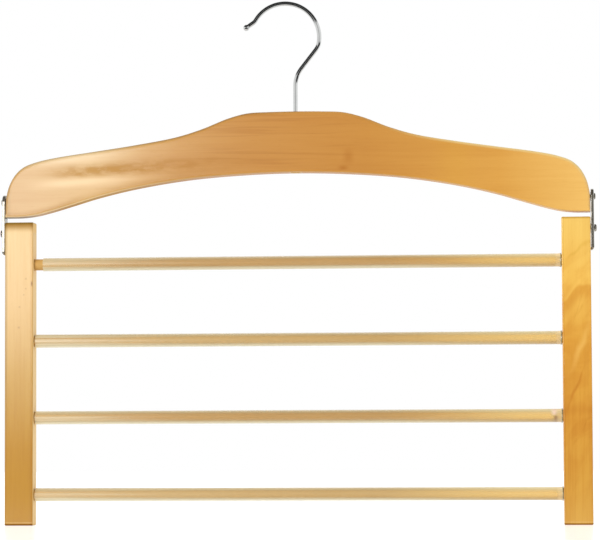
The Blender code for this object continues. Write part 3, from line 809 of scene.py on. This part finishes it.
def rounded_box(low, high, radius):
    """Round a box: each point of its shell goes to its nearest point in the core, plus radius outwards."""
    low, high = np.array(low), np.array(high)
    middle, half = (low + high) / 2, (high - low) / 2
    fan = radius * np.tan(np.linspace(0, math.pi / 4, 7))
    lines = []
    for reach in half:
        core = reach - radius
        inner = np.linspace(-core, core, 8)
        lines.append(np.concatenate([-core - fan[:0:-1], [-core, radius * 0.15 - core], inner[1:-1],
                                     [core - radius * 0.15, core], core + fan[1:]]))
    parts = []
    marks = []
    for axis in range(3):
        first, second = (axis + 1) % 3, (axis + 2) % 3
        a, b = np.meshgrid(lines[first], lines[second], indexing="ij")
        for side in (-1, 1):
            shell = np.zeros((*a.shape, 3))
            shell[..., first] = a
            shell[..., second] = b
            shell[..., axis] = side * half[axis]
            core = np.clip(shell, radius - half, half - radius)
            out = shell - core
            out /= np.linalg.norm(out, axis=-1, keepdims=True)
            points = middle + core + radius * out
            parts.append((points.reshape(-1, 3), grid_faces(*a.shape)))
            marks.append(np.clip((1 - np.abs(out).max(axis=-1)) / (1 - 0.5 ** 0.5), 0, 1).ravel())
    return parts, marks


def post_mesh(name, side):
    """Ease a post on all its edges, then sink its bar sockets and the screw's pilot hole."""
    low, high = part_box(name)
    parts, marks = rounded_box(low, high, POST_EASE)
    inner, outer = (low.x, high.x) if side > 0 else (high.x, low.x)
    tools = []
    for bar, z in zip(BAR_NAMES, BAR_HEIGHTS):
        bar_low, bar_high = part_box(bar)
        end = bar_high.x + GAP if side > 0 else bar_low.x - GAP
        tools.append(rod_tool((inner - side * OVERRUN, 0, z), (end, 0, z), BAR_RADIUS + GAP))
    bottom = (outer - side * (SCREW_BITE + GAP), 0, SCREW_Z)
    tools.append(rod_tool(bottom, (outer + side * OVERRUN, 0, SCREW_Z), SCREW_RADIUS + GAP))
    return carve(make_mesh(parts, {"rim": marks}, EASED_CREASE), tools, EASED_CREASE)


def dowel_mesh(name):
    """Turn a dowel with eased ends about X."""
    low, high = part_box(name)
    length = high.x - low.x
    turn = np.linspace(0, math.pi / 2, 5)
    start = np.stack([BAR_RADIUS - BAR_EASE * (1 - np.sin(turn)), BAR_EASE * (1 - np.cos(turn))], axis=1)
    profile = np.concatenate([[(0, 0)], start, start[::-1] * (1, -1) + (0, length), [(0, length)]])
    return turned_mesh(profile, DOWEL_SIDES, (1, 0, 0), (low.x, 0, (low.z + high.z) / 2))


def sleeve_mesh(name, seed, start):
    """Draw a ribbed tube along X: its radius waves round it, its end flares with the square of the length.

    Its start is ragged by a sum of six sine waves. Marks: wall is 1 on the outside, mouth is 1 at the end,
    and lift is the height on the tube from -1 to 1.
    """
    low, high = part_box(name)
    low = low + Vector((start, 0, 0))
    length = high.x - low.x
    bore = BAR_RADIUS + GAP
    outer = bore + SLEEVE_WALL
    neck = length - SLEEVE_FLARE_LENGTH
    sides = SLEEVE_RIBS * 6
    outside = np.concatenate([np.linspace(0.0004, neck, 40), np.linspace(neck, length, 7)[1:]])
    share = np.clip((outside - neck) / SLEEVE_FLARE_LENGTH, 0, 1)
    flare = share ** 2 * SLEEVE_FLARE
    outer_wall = np.stack([outer + flare, outside, np.ones_like(outside)], axis=1)
    inner_wall = np.stack([bore + flare, outside, np.zeros_like(outside)], axis=1)[::-3]
    profile = np.concatenate([outer_wall, inner_wall])
    phases = np.random.default_rng(seed).uniform(0, 2 * math.pi, 6)[:, None]
    angle = np.arange(sides) * 2 * math.pi / sides
    ragged = SLEEVE_RAGGED * np.sin(angle * np.arange(2, 8)[:, None] + phases).sum(axis=0) / 3

    def ribs(around, walls):
        uneven = 0.75 + 0.25 * np.sin(around * 7 + phases[0])
        return walls[:, 2:3] * SLEEVE_RIB * uneven * (0.5 + 0.5 * np.cos(around * SLEEVE_RIBS))

    points = turned_points(profile, sides, ribs).reshape(len(profile), sides, 3)
    lift = np.tile(-points[0, :, 0] / outer, len(profile))
    near_start = np.exp(-points[..., 2] / 0.0015)
    points[..., 2] += (ragged + 0.0002) * near_start
    points = lay_along(points.reshape(-1, 3), (1, 0, 0), (low.x, 0, (low.z + high.z) / 2))
    at_mouth = np.clip((profile[:, 1] - length + 0.0008) / 0.0004, 0, 1)
    marks = {"wall": [np.repeat(profile[:, 2], sides)], "mouth": [np.repeat(at_mouth, sides)], "lift": [lift]}
    return make_mesh([(points, grid_faces(len(profile), sides, True, True))], marks, 60)


def hook_path():
    """Follow the wire's moves from the crest: straight runs, and arcs centred square to the heading."""
    place = np.zeros(2)
    heading = math.pi / 2
    points = []
    headings = []
    for length, radius, turn in HOOK_MOVES:
        count = math.ceil(abs(turn) / 1.5 if radius else length / 0.001)
        share = np.arange(1, count + 1) / count
        angles = heading + math.radians(turn) * share
        if radius:
            side = math.copysign(radius, turn)
            centre = place + side * np.array((-math.sin(heading), math.cos(heading)))
            run = centre + side * np.stack([np.sin(angles), -np.cos(angles)], axis=1)
        else:
            run = place + length * share[:, None] * (math.cos(heading), math.sin(heading))
        points.append(run)
        headings.append(angles)
        place = run[-1]
        heading = angles[-1]
    return np.concatenate(points), np.concatenate(headings)


def hook_mesh():
    """Sweep a circle along the wire's path, with a thread cut on its lower end and a ball at its tip."""
    bends, headings = hook_path()
    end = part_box("hook_wire")[0].z - ARM_HIGH.z
    shank = np.arange(end, end + THREAD_RUN, THREAD_PITCH / 8)
    smooth = np.linspace(shank[-1] + THREAD_PITCH, 0, 20)
    straight = np.concatenate([shank, smooth])
    line = np.concatenate([np.stack([straight * 0, straight], axis=1), bends])
    heading = np.concatenate([np.full(len(straight), math.pi / 2), headings])
    radius = np.full(len(line), WIRE_RADIUS)
    radius[:6] -= np.linspace(THREAD_LEAD_IN, 0, 6)
    forward = np.array((math.cos(heading[-1]), math.sin(heading[-1])))
    opening = math.asin(WIRE_RADIUS / HOOK_BALL_RADIUS)
    centre = line[-1] + forward * HOOK_BALL_RADIUS * math.cos(opening)
    swell = np.linspace(opening, math.pi, 26)[1:]
    ball = centre - forward * HOOK_BALL_RADIUS * np.cos(swell)[:, None]
    line = np.concatenate([line[:1], line, ball])
    heading = np.concatenate([heading[:1], heading, np.full(len(swell), heading[-1])])
    radius = np.concatenate([[0], radius, HOOK_BALL_RADIUS * np.sin(swell)])
    around = np.arange(WIRE_SIDES) * 2 * math.pi / WIRE_SIDES
    depth = THREAD_DEPTH * (0.5 + 0.5 * np.cos(line[:, 1:] * 2 * math.pi / THREAD_PITCH - around))
    fade = np.clip((end + THREAD_RUN - line[:, 1]) / THREAD_PITCH, 0, 1)[:, None]
    reach = np.maximum(radius[:, None] - depth * fade, 0)
    x = line[:, :1] - np.sin(heading)[:, None] * reach * np.cos(around) + ARM_X
    z = line[:, 1:] + np.cos(heading)[:, None] * reach * np.cos(around) + ARM_HIGH.z
    points = np.stack([x, reach * np.sin(around), z], axis=-1).reshape(-1, 3)
    return make_mesh([(points, grid_faces(len(line), WIRE_SIDES, False, True))], crease=70)


def nut_mesh():
    """A hexagon whose corners a cone cuts back at both ends: the radius is the lesser of the two."""
    height = NUT_HIGH.z - NUT_LOW.z
    corner = NUT_WIDTH / 2 / math.cos(math.pi / 6)
    bore = WIRE_RADIUS + GAP
    rise = np.linspace(0, NUT_CHAMFER, 6)
    heights = np.concatenate([rise, height - rise[::-1]])
    cone = corner - np.maximum(NUT_CHAMFER - np.minimum(heights, height - heights), 0) * 1.4
    profile = np.concatenate([
        [(bore, NUT_BORE_CHAMFER), (bore + NUT_BORE_CHAMFER, 0)],
        np.stack([cone, heights], axis=1),
        [(bore + NUT_BORE_CHAMFER, height), (bore, height - NUT_BORE_CHAMFER)],
    ])

    def flats(around, lines):
        turn = (around + math.pi / 6) % (math.pi / 3) - math.pi / 6
        hexagon = NUT_WIDTH / 2 / np.cos(turn)
        return np.minimum(hexagon - lines[:, :1], 0) * (lines[:, :1] > bore + 0.0004)

    return turned_mesh(profile, NUT_SIDES, (0, 0, 1), (ARM_X, 0, NUT_LOW.z), flats, ring=True)


def washer_mesh():
    """Turn a flat ring with rounded edges."""
    thick = WASHER_HIGH.z - WASHER_LOW.z
    outer = (WASHER_HIGH.x - WASHER_LOW.x) / 2
    inner = WIRE_RADIUS + GAP
    turn = np.linspace(0, math.pi / 2, 4)
    corner = np.stack([np.sin(turn) - 1, 1 - np.cos(turn)], axis=1) * WASHER_EASE
    profile = np.concatenate([
        corner + (outer, 0),
        corner[::-1] * (1, -1) + (outer, thick),
        corner * (-1, -1) + (inner, thick),
        corner[::-1] * (-1, 1) + (inner, 0),
    ])
    return turned_mesh(profile, DOWEL_SIDES, (0, 0, 1), (ARM_X, 0, WASHER_LOW.z), ring=True)


def strap_mesh(side):
    """Rule the strap's outline flat, then bend its foot in round the lip's centre.

    Along is the height over the pivot measured on the strap's middle plane. Past the bend it turns into
    an angle round the lip's centre, at a radius that grows with the depth through the plate.
    """
    half = STRAP_WIDTH / 2
    inner = GAP + STRAP_BOSS_HEIGHT
    middle = inner + STRAP_THICKNESS / 2
    bend_radius = STRAP_BOSS_HEIGHT + STRAP_THICKNESS / 2
    bend_start = STRAP_BOSS_HEIGHT + STRAP_THICKNESS - STRAP_DROP
    end = bend_start - bend_radius * math.pi / 2
    head = np.linspace(0, math.pi / 2, 24)
    foot = np.linspace(0, math.pi / 2, 12)
    across = np.concatenate([
        half * np.sin(head), [half] * 38, half - STRAP_CORNER + STRAP_CORNER * np.cos(foot)])
    along = np.concatenate([
        half * np.cos(head),
        np.linspace(0, end + STRAP_CORNER, 40)[1:-1],
        end + STRAP_CORNER * (1 - np.sin(foot)),
    ])
    right = np.stack([across, along], axis=1)
    rims = (np.linspace(0, 1, 12), STRAP_THICKNESS, STRAP_EASE, 4)
    parts, marks = slab_parts(right * (-1, 1), right, *rims, pointed=True)
    bent = []
    for points, faces in parts:
        angle = np.clip((bend_start - points[:, 1]) / bend_radius, 0, math.pi / 2)
        radius = bend_radius + points[:, 2]
        straight = np.maximum(points[:, 1], bend_start)
        out = inner - STRAP_BOSS_HEIGHT + radius * np.cos(angle)
        down = straight - radius * np.sin(angle)
        place = np.stack([ARM_X + side * (ARM_HALF + out), points[:, 0], PIVOT_Z + down], axis=1)
        bent.append((place, faces))
    arm_end = ARM_X + side * ARM_HALF
    bosses = []
    holes = []
    for z, radius in ((PIVOT_Z, PIN_RADIUS + GAP), (SCREW_Z, SCREW_RADIUS + GAP)):
        boss_foot = (arm_end + side * GAP, 0, z)
        bosses.append(rod_tool(boss_foot, (arm_end + side * middle, 0, z), radius + STRAP_BOSS_RIM))
        holes.append(rod_tool((arm_end, 0, z), (arm_end + side * (HEAD_SEAT + OVERRUN), 0, z), radius))
    mesh = carve(make_mesh(bent, marks, EASED_CREASE), bosses, EASED_CREASE, "UNION")
    return carve(mesh, holes, EASED_CREASE)


def fixing_mesh(side, height, radius, bite, point, head_radius, head_height):
    """Turn a pin or screw about X: point, shank, and a domed head.

    The dome's radius shrinks with cos a ** 0.6 while it rises with sin a, so its edge rolls over roundly.
    """
    roll = np.linspace(0, math.pi / 2, 16)
    dome = np.stack([
        head_radius * np.cos(roll) ** 0.6,
        HEAD_SEAT + head_height * (0.3 + 0.7 * np.sin(roll)),
    ], axis=1)
    profile = np.concatenate([
        [(0, -bite), (radius, point - bite), (radius, HEAD_SEAT)],
        [(head_radius - HEAD_CHAMFER, HEAD_SEAT), (head_radius, HEAD_SEAT + HEAD_CHAMFER)],
        dome[:-1],
        [(0, HEAD_SEAT + head_height)],
    ])
    return turned_mesh(profile, BORE_SIDES, (side, 0, 0), (ARM_X + side * ARM_HALF, 0, height))


def cut_cross(mesh, side):
    """Cut a cross recess into the screw's head: two crossed bars that narrow towards their bottom."""
    crown = ARM_X + side * (ARM_HALF + HEAD_SEAT + SCREW_HEAD_HEIGHT + OVERRUN)
    tools = []
    for turn in (math.pi / 4, -math.pi / 4):
        long_way = np.array((0, math.cos(turn), math.sin(turn)))
        wide_way = np.array((0, -math.sin(turn), math.cos(turn)))
        corners = []
        for level, share in ((crown, 1.5), (crown - side * (OVERRUN + CROSS_DEPTH), 0.45)):
            for a, b in ((-1, -1), (1, -1), (1, 1), (-1, 1)):
                spot = long_way * a * CROSS_REACH * share + wide_way * b * CROSS_WIDTH * (0.6 + 0.4 * share)
                corners.append(spot + (level, 0, SCREW_Z))
        faces = np.concatenate([grid_faces(2, 4, False, True), [[0, 1, 2, 3], [4, 5, 6, 7]]])
        tools.append(make_mesh([(np.array(corners), faces)]))
    return carve(mesh, tools)


def build_hanger():
    """Make every piece, in the order hook, arm, ladder."""
    arm_span = (ARM_LOW.x, ARM_HIGH.x)
    post_span = (FLOOR_Z, POST_TOP_Z)
    arm_wood = wood("lacquered arm wood", 0, ARM_TONES, arm_span, 1.0, 0.4, arm_marks)
    left_wood = wood("lacquered left post wood", 2, LEFT_POST_TONES, post_span, 1.0, 0.4, left_post_marks)
    right_wood = wood("lacquered right post wood", 2, RIGHT_POST_TONES, post_span, 1.0, 0.4, right_post_marks)
    dowel_wood = wood("sanded dowel wood", 0, DOWEL_TONES, arm_span, 0.0, 0.5, dowel_marks, 0.4)
    plastic = clear_plastic()
    chrome = chrome_plate()
    nickel = nickel_plate()

    add_piece("hook_wire_bent", hook_mesh(), chrome, "hook", "chrome", "hook_wire")
    add_piece("lock_nut_hex", nut_mesh(), nickel, "hook", "nickel", "hook_lock_nut")
    add_piece("washer_ring", washer_mesh(), nickel, "arm", "nickel", "hook_washer")
    add_piece("arm_shaped", arm_mesh(), arm_wood, "arm", "arm_wood", "hanger_arm")
    for hand, side, post_wood in (("left", -1, left_wood), ("right", 1, right_wood)):
        post = post_mesh(f"{hand}_post", side)
        pin = fixing_mesh(side, PIVOT_Z, PIN_RADIUS, PIN_BITE, PIN_RADIUS, PIN_HEAD_RADIUS, PIN_HEAD_HEIGHT)
        screw = fixing_mesh(
            side, SCREW_Z, SCREW_RADIUS, SCREW_BITE, SCREW_POINT, SCREW_HEAD_RADIUS, SCREW_HEAD_HEIGHT)
        screw = cut_cross(screw, side)
        add_piece(f"{hand}_post_eased", post, post_wood, "ladder", "post_wood", f"{hand}_post")
        add_piece(f"{hand}_strap_formed", strap_mesh(side), nickel, "ladder", "nickel", f"{hand}_strap")
        add_piece(f"{hand}_pin_domed", pin, nickel, "arm", "nickel", f"{hand}_pivot_pin")
        add_piece(f"{hand}_screw_pan", screw, nickel, "ladder", "nickel", f"{hand}_strap_screw")
    for index, (bar, start) in enumerate(zip(BAR_NAMES, SLEEVE_STARTS)):
        add_piece(f"dowel_{index + 1}", dowel_mesh(bar), dowel_wood, "ladder", "bar_wood", bar)
        sleeve = f"bar_sleeve_{index + 1}"
        mesh = sleeve_mesh(sleeve, index, start)
        add_piece(f"ribbed_sleeve_{index + 1}", mesh, plastic, "ladder", "clear_sleeve", sleeve)


def add_floor():
    """Lay the white table under the feet."""
    mesh = bpy.data.meshes.new("table")
    left, right, front, back = -1.3, 1.3, -0.3, 2.5
    corners = ((left, front), (right, front), (right, back), (left, back))
    mesh.from_pydata([(x, y, FLOOR_Z) for x, y in corners], [], [(0, 1, 2, 3)])
    mesh.materials.append(table_top())
    new_object("table", mesh)


def add_lamp(name, place, power, target=(0, 0, -0.2), size=(0.8, 0.8), mirrored=False):
    """Hang a soft lamp that faces a point; a mirrored one shows in all shiny metal but the hook's wire."""
    lamp = bpy.data.lights.new(name, "AREA")
    lamp.shape = "RECTANGLE"
    lamp.size, lamp.size_y = size
    lamp.energy = power
    holder = new_object(name, lamp)
    holder.location = place
    holder.rotation_euler = (Vector(target) - Vector(place)).to_track_quat("-Z", "Y").to_euler()
    holder.visible_camera = False
    holder.visible_glossy = mirrored
    if mirrored:
        spared = bpy.data.collections.new(f"spared by {name}")
        spared.objects.link(bpy.data.objects["hook_wire_bent"])
        spared.collection_objects[0].light_linking.link_state = "EXCLUDE"
        holder.light_linking.receiver_collection = spared


def add_surroundings():
    """White to the camera, mid grey to wood and floor, and dark in front and above for shiny metal."""
    world = bpy.data.worlds.new("studio")
    world.use_nodes = True
    bpy.context.scene.world = world
    studio = Nodes(world.node_tree, "Generated")
    seen, through, shiny = [
        studio.node("ShaderNodeLightPath", {}, {}, f"Is {kind} Ray")
        for kind in ("Camera", "Transmission", "Glossy")
    ]
    seen += through
    across, along, up = studio.axes()
    front = (along - up.math("MAXIMUM", up, 0.0) * 0.6).ramp(0.1, -0.15)
    aside = across + 0.08
    upper = aside.math("MAXIMUM", aside * 0.47, aside * -0.36)
    lower = aside.math("MINIMUM", aside * 0.47, aside * -0.12)
    middle = (upper + lower) * 0.5
    off = up.math("ABSOLUTE", up - 0.14 - middle) - (upper - lower) * 0.5
    strip = off.ramp(0.06, -0.02) * (aside.ramp(0, -0.2) * 0.4 + aside.ramp(0.3, 0.5) * 0.4 + 0.5)
    shine = 1 - front * (1 - strip) * 0.97
    plain = 0.6
    level = seen + (1 - seen) * (shiny * shine + (1 - shiny) * plain)
    studio.feed(world.node_tree.nodes["Background"], {"Color": (1, 1, 1, 1), "Strength": level})


def add_camera():
    """Stand the camera where the photograph was taken from, low and a little right of the hook."""
    place = (0.177, -2.0, -0.3193)
    turned_left, tilted_up, rolled = 4.7525, 3.4017, -0.2395
    lens = bpy.data.cameras.new("camera")
    lens.lens = 160.65
    lens.sensor_fit = "HORIZONTAL"
    lens.clip_end = 50
    camera = new_object("camera", lens)
    turn = Matrix.Rotation(math.radians(turned_left), 4, "Z")
    lift = Matrix.Rotation(math.radians(90 + tilted_up), 4, "X")
    roll = Matrix.Rotation(math.radians(rolled), 4, "Z")
    camera.matrix_world = Matrix.Translation(place) @ turn @ lift @ roll
    bpy.context.scene.camera = camera


add_camera()
build_hanger()
add_floor()
add_lamp("left softbox", (-0.8, -1.35, 0.4), 11.0)
add_lamp("back fill", (0.7, 1.5, 0.5), 6.0)
add_lamp("sheen panel", (-0.615, -1.35, -0.06), 3.6, (-0.15, 0, -0.15), (0.67, 0.38), mirrored=True)
add_surroundings()
bpy.context.scene.view_settings.view_transform = "Standard"
